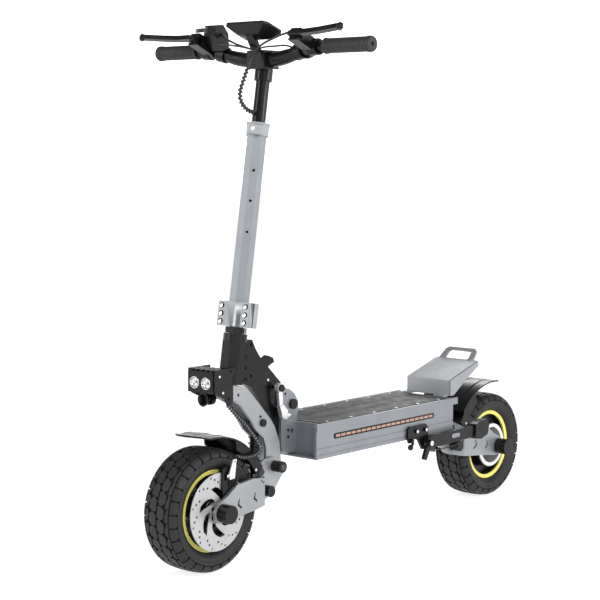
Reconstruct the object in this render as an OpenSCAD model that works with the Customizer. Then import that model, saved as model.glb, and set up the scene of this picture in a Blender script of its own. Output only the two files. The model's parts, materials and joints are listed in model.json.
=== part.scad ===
// Folding electric kick scooter with leading and trailing swing arms.
// +X is forward, +Y is the rider's left, +Z is up. The origin lies on the floor, midway between the axles.

/* [Wheels] */
// Distance between the two axles
wheelbase = 990; // [970:5:1010]
// Outer diameter of a tyre
tyre_d = 255; // [251:1:255]
// Width of a tyre at its shoulders
tyre_w = 88; // [80:1:90]
// Diameter of the rim where the bead sits
rim_d = 168; // [166:1:172]
// Diameter of the brake rotors
rotor_d = 160; // [150:1:160]

/* [Deck] */
// Length of the deck box
deck_l = 498; // [496:1:500]
// Width of the deck box
deck_w = 172; // [168:1:176]
// Height of the underside of the deck above the floor
deck_low = 200; // [198:1:202]
// Height of the deck box
deck_h = 75; // [72:1:76]

/* [Steering column] */
// Angle by which the steering axis leans back
lean = 9.2; // [9:0.1:9.4]
// Where the steering axis meets the floor
steer_x = 467.4; // [467:0.1:468]
// Width of the eight-sided stem tube across its flats
stem_w = 40; // [39:0.5:42]
// Outer radius of the telescoping height tube
height_r = 14.5; // [14:0.1:15]

/* [Cockpit] */
// Overall width of the handlebar with its grips
bar_w = 590; // [560:5:620]
// Height of the grips
grip_z = 1063; // [1055:1:1070]
// Radius of a grip
grip_r = 15.5; // [14:0.5:17]

/* [Hidden] */
$fn = 48;
// Radial clearance of a shaft in its bore, and of the height tube that slides in the stem
fit = 0.05;
slide_fit = 0.2;
axle_x = wheelbase / 2;
axle_z = 127.5;
axle_r = 6;
deck_front = 231;
deck_back = deck_front - deck_l;
deck_top = deck_low + deck_h;
deck_y = deck_w / 2;
wall = 4;
// Front swing arm pivot, shock eyes and fold pivot, as [x, z]
pivot = [305, 192];
eye_up = [331, 286];
eye_low = [341, 146];
fold = [231, 314];
latch = [283, 355];
shock_l = norm(eye_up - eye_low);
shock_tilt = atan2(eye_low[0] - eye_up[0], eye_up[1] - eye_low[1]);
pivot_r = 7;
bolt_r = 5;
stem_low = 498;
stem_high = 917;
height_top = 1032;
// Half gap between the two plates of each bracket, and their thickness
bracket_in = 10;
bracket_out = 18;
// Handlebar centre line, as [x, y, z] for the left half
bar_half = [[306, 0, 1041], [306, 32, 1041], [308, 70, 1046], [311, 110, 1056], [313, 145, 1062],
    [314, 170, grip_z],
    [314, bar_w / 2 - 5, grip_z]];
bar_r = [15.9, 15.9, 15, 12.5, 11.1, 11.1, 11.1];
lever_pivot = [366, 136, 1084];
lever_tilt = -23;
kick_pivot = [-149, 187];
rear_fender_end = 98;
kick_y = 101;
// Cable routes, as [x, y, z]
loom_route = [[338, 10, 1060], [350, 9, 1042], [360, 6, 1020], [368, 3, 998], [375, 0, 975], [374, 0, 955],
    [362, 0, 942], [348, 0, 935], [336, 0, 932.5]];
front_cable_route = [[445, 27, 339], [424, 31, 317], [402, 35, 295], [384, 40, 273], [373, 46, 255],
    [371, 51, 241], [384, 54, 232], [404, 54, 229], [426, 54, 230], [444, 53, 236]];

// ---------- helpers ----------

// A flat plate seen from the side: points are [x, z], thickness runs from y0 to y1
module side_plate(points, y0, y1) {
    translate([0, y1, 0])
        rotate([90, 0, 0])
            linear_extrude(y1 - y0) polygon(points);
}

// A round bar across the scooter, at p = [x, z], from y0 to y1
module rod(p, r, y0, y1) {
    translate([p[0], y1, p[1]])
        rotate([90, 0, 0])
            cylinder(r = r, h = y1 - y0);
}

// A round bar from point p to point q
module bar_between(p, q, r) {
    d = q - p;
    translate(p)
        rotate([0, acos(d[2] / norm(d)), atan2(d[1], d[0])])
            cylinder(r = r, h = norm(d));
}

module both_sides() {
    children();
    mirror([0, 1, 0]) children();
}

// Places children in the steering frame: local z runs up the steering axis from the floor
module on_stem() {
    translate([steer_x, 0, 0])
        rotate([0, -lean, 0])
            children();
}

// A bar with across-flats width w between heights z0 and z1
module prism(sides, w, z0, z1) {
    translate([0, 0, z0])
        rotate([0, 0, 180 / sides])
            cylinder(r = w / 2 / cos(180 / sides), h = z1 - z0, $fn = sides);
}

function unit(v) = v / norm(v);
function tangent(path, i) =
    unit(path[min(i + 1, len(path) - 1)] - path[max(i - 1, 0)]);
function side_of(t) = unit(cross(t, abs(t[1]) > 0.9 ? [1, 0, 0] : [0, 1, 0]));
function ring(p, t, r, sides) = let (u = side_of(t), v = cross(t, u))
    [for (k = [0 : sides - 1]) p + r * (cos(360 * k / sides) * u + sin(360 * k / sides) * v)];
// A point between path[i] and path[i + 1], on the smooth curve through the path's points
function smooth(path, i, f) = let (n = len(path) - 1, a = path[max(i - 1, 0)], b = path[i],
    c = path[min(i + 1, n)], d = path[min(i + 2, n)])
    0.5 * (2 * b + (c - a) * f + (2 * a - 5 * b + 4 * c - d) * f * f + (3 * b - a - 3 * c + d) * f * f * f);
function refine(path, steps) = concat([for (i = [0 : len(path) - 2]) for (s = [0 : steps - 1])
    smooth(path, i, s / steps)], [path[len(path) - 1]]);

// A round tube swept along a path; radii holds one radius for each point
module sweep(path, radii, sides) {
    n = len(path);
    points = [for (i = [0 : n - 1]) each ring(path[i], tangent(path, i), radii[i], sides)];
    walls = [for (i = [0 : n - 2]) for (k = [0 : sides - 1]) let (a = i * sides, b = a + sides,
        j = (k + 1) % sides)
        each [[a + k, b + j, a + j], [a + k, b + k, b + j]]];
    ends = [[for (k = [0 : sides - 1]) k], [for (k = [0 : sides - 1]) n * sides - 1 - k]];
    polyhedron(points, concat(walls, ends), convexity = 4);
}

module cable(route, r) {
    path = refine(route, 2);
    sweep(path, [for (p = path) r], 8);
}

// Centre of the left half of the handlebar at a distance y from the middle
function bar_point(y) = [
    lookup(y, [for (p = bar_half) [p[1], p[0]]]),
    y,
    lookup(y, [for (p = bar_half) [p[1], p[2]]])
];

// Points along an arc in the side view, between angles a0 and a1
function arc(c, r, a0, a1, steps) = [for (i = [0 : steps]) let (a = a0 + (a1 - a0) * i / steps)
    [c[0] + r * cos(a), c[1] + r * sin(a)]];

// ---------- deck ----------

module deck_tub() color("lightslategray") difference() {
    union() {
        translate([deck_back, -deck_y, deck_low]) cube([deck_l, deck_w, deck_h]);
        both_sides() translate([deck_back - 16, deck_y - 4, deck_top - 15]) cube([deck_l + 16, 6, 15.5]);
    }
    translate([deck_back + wall, -deck_y + 6, deck_low + wall]) cube([deck_l - 22, deck_w - 12, deck_h]);
    translate([deck_front - 14, -deck_y + 6, deck_low + wall]) cube([20, deck_w - 12, deck_h]);
    both_sides() translate([-190, deck_y - 2, deck_low + 38]) cube([363, 10, 12]);
    // grooves of the extruded side wall
    both_sides() for (z = [8, 22]) translate([deck_back - 1, deck_y - 1.2,
        deck_low + z]) cube([deck_l + 2, 3, 2]);
}

module deck_lid() color("dimgray")
    translate([deck_back + wall + 0.3, -deck_y + 6.2, deck_top - 7]) cube([deck_l - 22.6, deck_w - 12.4, 4]);

module deck_mat() color("#222222")
    translate([deck_back + 12, -deck_y + 9, deck_top - 3]) cube([deck_l - 36, deck_w - 18, 3.6]);

module battery_pack() color("royalblue") difference() {
    translate([-210, -68, deck_low + wall]) cube([310, 136, 56]);
    for (x = [-180 : 40 : 60]) translate([x, -70, deck_low + 50]) cube([3, 140, 12]);
}

module controller() color("silver") difference() {
    translate([112, -52, deck_low + wall]) cube([92, 104, 40]);
    for (y = [-44 : 11 : 44]) translate([110, y - 2.5, deck_low + 34]) cube([96, 5, 12]);
}

module side_lights() color("orange")
    both_sides() for (i = [0 : 5]) translate([-189.5 + 60.5 * i, deck_y - 2,
        deck_low + 38.5]) cube([59.5, 2, 11]);

module fold_bracket() color("lightslategray") {
    outline = [[217.1, 210], [250, 208], [262, 214], [267, 228], [267, 344], [262, 347], [240, 347],
        [224, 336],
        [212, 318], [211, 300], [217.1, 284]];
    difference() {
        union() {
            both_sides() side_plate(outline, bracket_in, bracket_out);
            translate([217.1, -bracket_out, 210]) cube([6, 2 * bracket_out, 56]);
            translate([223, -bracket_out, 210]) cube([30, 2 * bracket_out, 6]);
        }
        rod(fold, axle_r + fit, -30, 30);
        rod([232, 256], 5, -30, 30);
        rod([254, 338], 3.2, -30, 30);
    }
}

module rear_bracket() color("lightslategray") {
    outline = [[-292, 262], [-318, 300], [-338, 300], [-347, 286], [-324, 256], [-323, 194], [-305, 177],
        [-289, 182], [-267.1, 200], [-267.1, 262]];
    difference() {
        union() {
            both_sides() side_plate(outline, 16, 22);
            translate([-273.1, -60, 206]) cube([6, 120, 52]);
        }
        rod([-pivot[0], pivot[1]], pivot_r + fit, -30, 30);
        rod([-eye_up[0], eye_up[1]], bolt_r + fit, -30, 30);
        both_sides() for (z = [216, 248]) translate([-280, 48, z]) rotate([0, 90, 0]) cylinder(r = 4, h = 20);
    }
}

// Capped bolt across the scooter at p, from -y to y
module capped_bolt(p, r, y, cap_r, cap_in) {
    rod(p, r, -y, y);
    both_sides() rod(p, cap_r, cap_in, y);
}

module chassis_fasteners() color("#333333") {
    capped_bolt(fold, axle_r, 24, 11, bracket_out + 0.1);
    capped_bolt([-pivot[0], pivot[1]], pivot_r, 57, 12, 32.3);
    capped_bolt([-eye_up[0], eye_up[1]], bolt_r, 27, 8, 22.1);
}

// Frame of the lifting handle: local -x runs up its slope
module handle_frame() translate([-398, 0, 342]) rotate([0, 42, 0]) children();

module kick_plate() color("lightgray") {
    base_z = deck_top + 0.6;
    outline = [[-262, base_z], [-262, base_z + 3], [-283, base_z + 3], [-283, 312], [-402, 348], [-406, 347],
        [-404, 343], [-288, 308], [-288, base_z]];
    cheek = [[-287, base_z], [-287, 311], [-402, 346], [-402, 336], [-340, 301], [-300, base_z]];
    difference() {
        union() {
            side_plate(outline, -60, 60);
            both_sides() side_plate(cheek, 60, 64);
            side_plate([[-287, 306], [-287, 311], [-402, 346], [-402, 342]], -64, 64);
            handle_frame() linear_extrude(4.5)
                polygon([[8, -52], [-34, -46], [-41, -38], [-41, 38], [-34, 46], [8, 52]]);
        }
        handle_frame() translate([0, 0, -5]) linear_extrude(20)
            polygon([[-8, -34], [-28, -32], [-33, -27], [-33, 27], [-28, 32], [-8, 34], [-5, 30], [-5, -30]]);
        // the foot is open between its two tabs
        translate([-283, -34, base_z - 1]) cube([30, 68, 5]);
    }
}

module tail_light() color("firebrick") difference() {
    translate([-297, -30, 284]) cube([7, 60, 18]);
    translate([-298, -26, 288]) cube([3, 52, 10]);
}

// ---------- kickstand ----------

module kickstand_bracket() color("#2b2b2b") difference() {
    union() {
        side_plate([[-84, 205], [-84, 224], [-92, 230], [-152, 230], [-160, 222], [-163, 190], [-156, 174],
            [-140, 172], [-124, 196]], deck_y + 0.1, deck_y + 6);
        rod(kick_pivot, 7, deck_y, kick_y - 5.2);
        rod(kick_pivot, bolt_r, deck_y, kick_y + 9);
        rod(kick_pivot, 8, kick_y + 5.2, kick_y + 10);
        for (x = [-114, -148]) rod([x, 217], 4.5, deck_y + 6, deck_y + 10);
        rod([-96, 198], 4, deck_y + 6, deck_y + 12);
        side_plate([[-84, 205], [-90, 192], [-102, 192], [-106, 205]], deck_y + 0.1, deck_y + 6);
    }
    rod([-132, 190], 3, deck_y - 1, deck_y + 8);
}

module kickstand_leg() {
    kickstand_foot();
    color("#2b2b2b") difference() {
    union() {
        rod(kick_pivot, 11, kick_y - 5, kick_y + 5);
        side_plate([[-146, 198], [-175, 202], [-300, 204], [-340, 205], [-340, 180], [-300, 177], [-190, 174],
            [-146, 176]], kick_y - 4, kick_y + 4);
        side_plate([[-140, 180], [-128, 152], [-138, 148], [-156, 178]], kick_y - 4, kick_y + 4);
    }
    rod(kick_pivot, bolt_r + fit, kick_y - 10, kick_y + 12);
    }
}

module kickstand_foot() color("#151515") difference() {
    side_plate([[-328, 208], [-346, 213], [-372, 215], [-384, 200], [-378, 178], [-352, 170], [-328, 173]],
        kick_y - 9, kick_y + 9);
    side_plate([[-320, 205.4], [-340.4, 205.4], [-340.4, 179.6], [-320, 178]], kick_y - 4.2, kick_y + 4.2);
}

// ---------- neck and latch ----------

module neck() color("#1c1c1c") difference() {
    union() {
        side_plate([[376, 464], [349, 462], [339, 443], [324, 423], [311, 411], [244, 349], [222, 330],
            [231, 296],
            [246, 278], [255, 248], [263, 246], [270, 258], [291, 297], [352, 362], [376, 372]], -9, 9);
        rod(fold, 18, -9, 9);
        // hook plate on the spine
        side_plate([[326, 428], [314, 416], [299, 424], [290, 422], [276, 416], [273, 407], [284, 403],
            [296, 397],
            [311, 409]], -3, 3);
        on_stem() prism(8, 50, 379, 468);
        on_stem() translate([0, 0, 468]) cylinder(r = 25, h = 16);
        rod(latch, 4, 9, 32);
        rod(latch, 8, 31.8, 35);
    }
    on_stem() translate([0, 0, 350]) cylinder(r = height_r + fit, h = 200);
    on_stem() translate([0, 0, 400]) cylinder(r = 18, h = 60);
    rod(fold, axle_r + fit, -30, 30);
    for (p = [[352, 452], [352, 386]]) rod(p, 3.2, -12, 12);
}

module latch_lever() color("gainsboro") difference() {
    union() {
        rod(latch, 10, 20.5, 31.5);
        side_plate([[277, 350], [289, 350], [285, 316], [275, 316]], 22, 30);
        side_plate([[275, 319], [286, 316], [276, 289], [262, 285], [260, 304]], 20.5, 31.5);
        translate([255, 27, 294]) sphere(r = 6);
    }
    rod(latch, 4 + fit, 15, 40);
}

// ---------- fork, stem and lights ----------

module fork() color("lightslategray") difference() {
    union() {
        on_stem() intersection() {
            prism(8, 60, 346, 377);
            translate([-25, -26, 340]) cube([50, 52, 40]);
        }
        both_sides() side_plate([[428, 372], [428, 346], [398, 331], [365, 294], [349, 271], [327, 253],
            [319, 230],
            [321, 196], [307, 177], [290, 180], [272, 194], [277, 237], [283, 251], [293, 274], [305, 290],
            [343, 329], [380, 366]], 16, 22);
        on_stem() translate([0, 0, 346]) cylinder(r = height_r, h = 216);
    }
    on_stem() translate([0, 0, 340]) cylinder(r = 11, h = 240);
    rod(pivot, pivot_r + fit, -30, 30);
    rod(eye_up, bolt_r + fit, -30, 30);
    both_sides() rod([410, 354], 3.5, 18, 30);
}

module stem_clamp() color("lightgray") on_stem() difference() {
    union() {
        prism(8, stem_w + 10, stem_low, stem_low + 51);
        translate([-14, -43, stem_low]) cube([28, 86, 51]);
    }
    translate([0, 0, stem_low - 1]) cylinder(r = stem_w / 2 / cos(22.5) + 0.1, h = 60);
    both_sides() translate([-1.5, 24, stem_low - 1]) cube([3, 25, 60]);
    both_sides() for (i = [0 : 2]) translate([-20, 33, stem_low + 9 + 16.5 * i])
        rotate([0, 90, 0]) cylinder(r = 3 + fit, h = 40);
    both_sides() for (i = [0 : 2]) translate([10, 33, stem_low + 9 + 16.5 * i])
        rotate([0, 90, 0]) cylinder(r = 5.6, h = 10);
}

module stem_tube() color("lightslategray") on_stem() difference() {
    prism(8, stem_w, stem_low, stem_high);
    translate([0, 0, stem_low - 1]) cylinder(r = height_r + slide_fit, h = 440);
    // height pin holes on the front face
    for (z = [694, 759, 822]) translate([0, 0, z]) rotate([0, 90, 45]) cylinder(r = 3, h = 40);
}

module height_collar() color("silver") on_stem() difference() {
    union() {
        prism(8, stem_w + 9, stem_high + 0.5, stem_high + 5);
        prism(8, stem_w + 6, stem_high - 22, stem_high + 0.5);
        translate([10, 10, stem_high - 21]) rotate([0, 0, -45]) translate([-5, 5, 0]) cube([26, 12, 20]);
    }
    translate([0, 0, stem_high - 25]) cylinder(r = height_r + 0.5, h = 40);
    prism(8, stem_w + 0.2, stem_high - 30, stem_high);
    translate([27, 9, stem_high - 11]) rotate([0, 90, 45]) cylinder(r = 2.6, h = 30, center = true);
}

module steering_fasteners() color("#333333") {
    capped_bolt(pivot, pivot_r, 57, 12, 32.3);
    capped_bolt(eye_up, bolt_r, 27, 8, 22.1);
    on_stem() difference() {
        prism(6, 40, 484.4, 497);
        translate([0, 0, 480]) cylinder(r = height_r + fit, h = 20);
    }
    on_stem() both_sides() for (i = [0 : 2]) translate([-16, 33, stem_low + 9 + 16.5 * i])
        rotate([0, 90, 0]) union() {
            cylinder(r = 3, h = 30);
            translate([0, 0, 26.2]) cylinder(r = 5, h = 6);
            translate([0, 0, -3]) cylinder(r = 5.5, h = 5, $fn = 6);
        }
}

module headlight() color("#1c1c1c") difference() {
    union() {
        translate([452, -34, 366]) cube([44, 68, 44]);
        for (y = [-28 : 14 : 28]) translate([456, y - 4, 408]) cube([38, 8, 6]);
        // bracket cheeks back to the crown
        both_sides() side_plate([[492, 414], [430, 414], [430, 404], [441, 396], [437, 368], [437, 342],
            [452, 338],
            [462, 352], [484, 362], [492, 372]], 34, 37);
        both_sides() translate([437.2, 18, 346]) cube([5, 17, 22]);
    }
    both_sides() translate([486, 16, 386]) rotate([0, 90, 0]) cylinder(r = 13, h = 20);
    translate([456, -30, 370]) cube([22, 60, 32]);
}

module headlight_lenses() color("white")
    both_sides() translate([486.2, 16, 386]) rotate([0, 90, 0]) difference() {
        cylinder(r = 12.6, h = 10.5);
        translate([0, 0, -1]) cylinder(r = 9, h = 8);
    }

module horn() color("#222222") translate([462, 0, 351]) rotate([0, 90, 0]) difference() {
    union() {
        cylinder(r = 13, h = 10);
        translate([0, 0, 10]) cylinder(r1 = 9, r2 = 14.5, h = 16);
        translate([-14.9, -8, 0]) cube([6, 16, 8]);
    }
    translate([0, 0, 14]) cylinder(r1 = 5, r2 = 12, h = 13);
}

// ---------- cockpit ----------

module height_tube() color("#1c1c1c") on_stem() difference() {
    translate([0, 0, 650]) cylinder(r = height_r, h = height_top - 650);
    translate([0, 0, 640]) cylinder(r = 12, h = 430);
    for (a = [0 : 60 : 300]) rotate([0, 0, a]) translate([height_r - 0.6, -1, 645]) cube([2, 2, 360]);
}

module bar_clamp() color("#1c1c1c") difference() {
    union() {
        translate([283, -24, 1022]) cube([46, 48, 38]);
        on_stem() translate([0, 0, height_top - 22]) cylinder(r = 19, h = 26);
        side_plate([[318, 1056], [329, 1056], [350, 1089.8], [334, 1084]], -10, 10);
    }
    translate([306, 0, 1041]) rotate([90, 0, 0]) cylinder(r = 16, h = 80, center = true);
    translate([280, -30, 1040.5]) cube([12, 60, 1.5]);
    on_stem() translate([0, 0, height_top - 30]) cylinder(r = height_r + fit, h = 30.5);
}

module handlebar() color("#1c1c1c") {
    right = [for (i = [len(bar_half) - 1 : -1 : 1]) [bar_half[i][0], -bar_half[i][1], bar_half[i][2]]];
    radii = concat([for (i = [len(bar_r) - 1 : -1 : 1]) bar_r[i]], bar_r);
    sweep(concat(right, bar_half), radii, 24);
}

module grips() color("#2e2e2e") both_sides() difference() {
    union() {
        translate([314, 176, grip_z]) rotate([-90, 0, 0]) cylinder(r = grip_r - 0.6, h = bar_w / 2 - 176);
        for (y = [176, bar_w / 2 - 10]) translate([314, y, grip_z]) rotate([-90, 0,
            0]) cylinder(r = grip_r + 1, h = 6);
        for (i = [0 : 11]) translate([314, 186 + 8 * i, grip_z]) rotate([-90, 0, 0]) cylinder(r = grip_r,
            h = 5);
    }
    translate([314, 150, grip_z]) rotate([-90, 0, 0]) cylinder(r = 11.15, h = bar_w / 2 - 154.8);
}

module lever_frame(side) {
    translate([lever_pivot[0], side * lever_pivot[1], lever_pivot[2]])
        rotate([0, lever_tilt, 0])
            children();
}

module lever_perches() color("#1c1c1c") both_sides() {
    difference() {
        union() {
            bar_between(bar_point(138), bar_point(158), 17);
            side_plate([[318, 1046], [330, 1056], [372, 1074], [362, 1098], [336, 1086], [312, 1076]],
                126, 152);
        }
        bar_between(bar_point(122), bar_point(164), 13.1);
        lever_frame(1) translate([-9.5, -14, -6.3]) cube([40, 50, 12.6]);
    }
    lever_frame(1) cylinder(r = 3, h = 22, center = true);
}

module lever_blade() difference() {
    union() {
        cylinder(r = 8, h = 12, center = true);
        translate([0, 0, -5]) linear_extrude(10)
            polygon([[-6, 3], [-2, -7], [10, -8], [16, 8], [15, 40], [20, 80], [27, 118], [30, 134],
                [24, 140],
                [18, 134], [14, 112], [6, 70], [2, 36], [0, 16]]);
        translate([24, 137, -7]) cylinder(r = 5, h = 14);
    }
    cylinder(r = 3 + fit, h = 30, center = true);
}

module brake_lever_left() color("#1c1c1c") lever_frame(1) lever_blade();

module brake_lever_right() color("#1c1c1c") mirror([0, 1, 0]) lever_frame(1) lever_blade();

module control_pods() color("#1c1c1c") {
    // throttle housing on the rider's right
    difference() {
        union() {
            mirror([0, 1, 0]) bar_between(bar_point(97), bar_point(117), 17);
            side_plate([[312, 1068], [330, 1062], [356, 1092], [352, 1114], [330, 1116], [314, 1098]],
                -122, -90);
        }
        mirror([0, 1, 0]) bar_between(bar_point(84), bar_point(126), 14.7);
        translate([333, -130, 1100]) cube([35, 19, 10]);
    }
    // switch pod on the rider's left
    difference() {
        union() {
            bar_between(bar_point(97), bar_point(117), 17);
            side_plate([[312, 1068], [300, 1040], [284, 1046], [278, 1066], [290, 1086], [308, 1080]],
                94, 122);
        }
        bar_between(bar_point(84), bar_point(126), 14.7);
        for (y = [101, 115]) pod_button_frame(y) translate([0, 0, 4.5]) cylinder(r = 5.05, h = 30);
    }
}

module throttle_trigger() color("#1c1c1c") difference() {
    union() {
        translate([346, -118, 1100.5]) cylinder(r = 6, h = 9);
        translate([0, 0, 1101]) linear_extrude(8)
            polygon([[342, -116], [350, -114], [354, -126], [352, -142], [344, -158], [336, -164],
                [334, -160],
                [342, -146], [345, -132]]);
    }
    translate([346, -118, 1090]) cylinder(r = 2.5 + fit, h = 30);
}

module display_frame() translate([336, 0, 1100]) rotate([0, -20, 0]) children();

module display() color("#151515") display_frame() difference() {
    hull() {
        translate([-30, -50, 2]) cube([60, 100, 5]);
        translate([-22, -58, 2]) cube([44, 116, 5]);
        translate([-18, -30, -14]) cube([32, 60, 2]);
    }
    translate([-16, -34, 6]) cube([40, 68, 3]);
    translate([-24, 0, 2]) cylinder(r = 4.05, h = 20);
}

module power_button() color("firebrick") display_frame() translate([-24, 0, 4.5]) cylinder(r = 4, h = 4);

module pod_button_frame(y) translate([290, y, 1064]) rotate([0, -42, 0]) children();

module pod_button(y) pod_button_frame(y) translate([0, 0, 6.6]) cylinder(r = 5, h = 8);

module lamp_button() color("green") pod_button(101);

module horn_button() color("goldenrod") pod_button(115);

// ---------- swing arms, drawn for the front; the rear is their mirror image ----------

arm_outline = [[337, 210], [303, 211], [286, 201], [271, 179], [312, 133], [336, 124], [358, 120], [418, 115],
    [480, 106], [512, 108], [517, 130], [506, 148], [478, 160], [452, 178], [404, 184], [372, 180],
        [352, 197]];
arm_plan = [[260, 24], [350, 24], [368, 48], [400, 54], [530, 54], [530, 62], [396, 62], [360, 55], [346, 32],
    [260, 32]];

module chevron(x, z, s) {
    side_plate([[x, z + 12 * s], [x + 3, z + 12 * s], [x + 7, z], [x - 4, z - 9 * s], [x - 7, z - 6 * s],
        [x + 2, z + 1]], 20, 70);
}

module swing_arm() color("lightgray") difference() {
    union() {
        both_sides() intersection() {
            side_plate(arm_outline, 20, 70);
            linear_extrude(400) polygon(arm_plan);
        }
        rod([313, 158], 6, -25, 25);
    }
    both_sides() rod(eye_low, 12.3, 32, 70);
    rod(pivot, pivot_r + fit, -40, 40);
    rod(eye_low, bolt_r + fit, -40, 40);
    rod([axle_x, axle_z], axle_r + fit, -70, 70);
    both_sides() chevron(396, 142, 1);
    both_sides() chevron(444, 136, 1);
}

module wheel_axle(cap_out) color("#2e2e2e") {
    capped_bolt([axle_x, axle_z], axle_r, cap_out, 19, 62.2);
    both_sides() rod([axle_x, axle_z], 11, 50.2, 53.8);
    rod(eye_low, bolt_r, -57, 57);
    both_sides() rod(eye_low, 12, 32.3, 57);
}

module shock_frame() translate([eye_up[0], 0, eye_up[1]]) rotate([0, -shock_tilt, 0]) children();

module shock_body() color("#1c1c1c") shock_frame() difference() {
    union() {
        translate([0, 7, 0]) rotate([90, 0, 0]) cylinder(r = 9, h = 14);
        translate([0, 0, -86]) cylinder(r = 9, h = 80);
        translate([0, 0, -22]) cylinder(r = 14, h = 5);
    }
    rotate([90, 0, 0]) cylinder(r = bolt_r + fit, h = 40, center = true);
    translate([0, 0, -90]) cylinder(r = 4 + fit, h = 76);
}

module shock_shaft() color("silver") shock_frame() difference() {
    union() {
        translate([0, 7, -shock_l]) rotate([90, 0, 0]) cylinder(r = 9.5, h = 14);
        translate([0, 0, -shock_l + 2]) cylinder(r = 4, h = 80);
        translate([0, 0, -shock_l + 8]) cylinder(r = 14, h = 4);
    }
    // the eye is wide of its bolt: the linkage is opened here
    translate([0, 0, -shock_l]) rotate([90, 0, 0]) cylinder(r = bolt_r + 0.9, h = 40, center = true);
}

module shock_spring() color("#3a3a3a") shock_frame() {
    turns = 8;
    steps = 12;
    top = -23.5;
    low = -shock_l + 13.6;
    coil = [for (i = [0 : turns * steps]) let (a = 360 * i / steps)
        [11.6 * cos(a), 11.6 * sin(a), top + (low - top) * i / (turns * steps)]];
    sweep(coil, [for (p = coil) 1.5], 6);
}

module tyre() color("#2a2a2a") translate([axle_x, 0, axle_z]) rotate([90, 0, 0]) rotate_extrude($fn = 96)
    polygon([[rim_d / 2, -30], [rim_d / 2 + 12, -41], [tyre_d / 2 - 24, -tyre_w / 2],
        [tyre_d / 2 - 9, -tyre_w / 2],
        [tyre_d / 2 - 2, -34], [tyre_d / 2, -14], [tyre_d / 2, 14], [tyre_d / 2 - 2, 34],
        [tyre_d / 2 - 9, tyre_w / 2], [tyre_d / 2 - 24, tyre_w / 2], [rim_d / 2 + 12, 41], [rim_d / 2, 30],
        [rim_d / 2, 24], [rim_d / 2 + 8, 20], [rim_d / 2 + 8, -20], [rim_d / 2, -24]]);

module rim(hub_r) color("gold") difference() {
    translate([axle_x, 0, axle_z]) rotate([90, 0, 0]) {
        rotate_extrude($fn = 96)
            polygon([[rim_d / 2 - 0.2, -30], [rim_d / 2 - 0.2, -24], [rim_d / 2 - 0.2, 24],
                [rim_d / 2 - 0.2, 30],
                [rim_d / 2 - 6, 30], [rim_d / 2 - 8, 22], [rim_d / 2 - 12, 10], [hub_r + 4, 8], [hub_r, 40],
                [20, 41], [20, 46], [axle_r + fit, 46], [axle_r + fit, -46], [20, -46], [20, -41],
                    [hub_r, -40],
                [hub_r + 4, -8], [rim_d / 2 - 12, -10], [rim_d / 2 - 8, -22], [rim_d / 2 - 6, -30]]);
    }
    if (hub_r < 40) for (k = [0 : 4]) translate([axle_x, 0, axle_z]) rotate([0, 72 * k + 20, 0])
        translate([(hub_r + rim_d / 2) / 2, 0, 0]) rotate([90, 0, 0]) cylinder(r = 13, h = 40, center = true);
}

// side is 1 where the rotor sits on the left, -1 where it sits on the right
module rotor(side) color("silver") translate([axle_x, side * 48, axle_z]) rotate([90, 0, 0]) difference() {
    cylinder(r = rotor_d / 2, h = 2, center = true, $fn = 96);
    cylinder(r = 14, h = 10, center = true);
    for (k = [0 : 5]) rotate([0, 0, 60 * k]) translate([37, 0, 0]) cylinder(r = 11, h = 10, center = true);
    for (k = [0 : 11]) rotate([0, 0, 30 * k]) translate([67, 0, 0]) cylinder(r = 4, h = 10, center = true);
    for (k = [0 : 5]) rotate([0, 0, 60 * k + 30]) translate([21, 0, 0]) cylinder(r = 2.6, h = 10,
        center = true);
}

// Two-piece caliper that straddles the rotor, side as for the rotor
module caliper(side) color("#1c1c1c") {
    outline = [[452, 168], [484, 158], [488, 176], [486, 206], [470, 212], [446, 204], [438, 190]];
    difference() {
        mirror([0, (1 - side) / 2, 0]) union() {
            side_plate(outline, 43.4, 46.4);
            side_plate(outline, 49.6, 53.6);
            side_plate([[438, 190], [446, 204], [470, 212], [486, 206], [487, 214], [470, 221], [441, 211],
                [430, 192]], 43.4, 53.6);
            side_plate([[452, 190], [478, 190], [478, 204], [452, 204]], 53.6, 57);
        }
        rod([axle_x, axle_z], rotor_d / 2 + 1.5, 46.5, 49.5);
        rod([axle_x, axle_z], rotor_d / 2 + 1.5, -49.5, -46.5);
        rod([465, 197], 3 + fit, 50, 70);
        rod([465, 197], 3 + fit, -70, -50);
    }
}

// Cable arm that turns on the caliper
module caliper_arm(side) color("silver") mirror([0, (1 - side) / 2, 0]) {
    rod([465, 197], 3, 50.2, 64);
    difference() {
        side_plate([[458, 193], [472, 192], [474, 204], [462, 232], [452, 232], [454, 222]], 57.4, 61);
        rod([457.5, 227], 2, 50, 70);
    }
}

// ---------- mudguards ----------

module front_fender() color("#1c1c1c") {
    c = [axle_x, axle_z];
    inner = concat([[553, 284], [530, 280.5]], arc(c, 149, 84, 150, 10));
    outer = concat(arc(c, 152.5, 150, 84, 10), [[532, 284.5], [556, 289]]);
    difference() {
        union() {
            side_plate(concat(inner, outer), -46, 46);
            both_sides() side_plate(concat([[430, 187], [376, 187], [361, 205]],
                arc(c, 150, 150, 112, 6)), 43, 45.8);
            both_sides() side_plate([[356, 202], [374, 185], [382, 187], [382, 207], [368, 210]], 32.2, 45.8);
        }
        // the tip narrows in plan
        both_sides() translate([0, 0, 268]) linear_extrude(40)
            polygon([[486, 47], [512, 43], [532, 34], [546, 21], [553, 10], [557, 2], [557, 47]]);
        rod([axle_x, axle_z], tyre_d / 2 + 4, -60, 60);
    }
}

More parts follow.
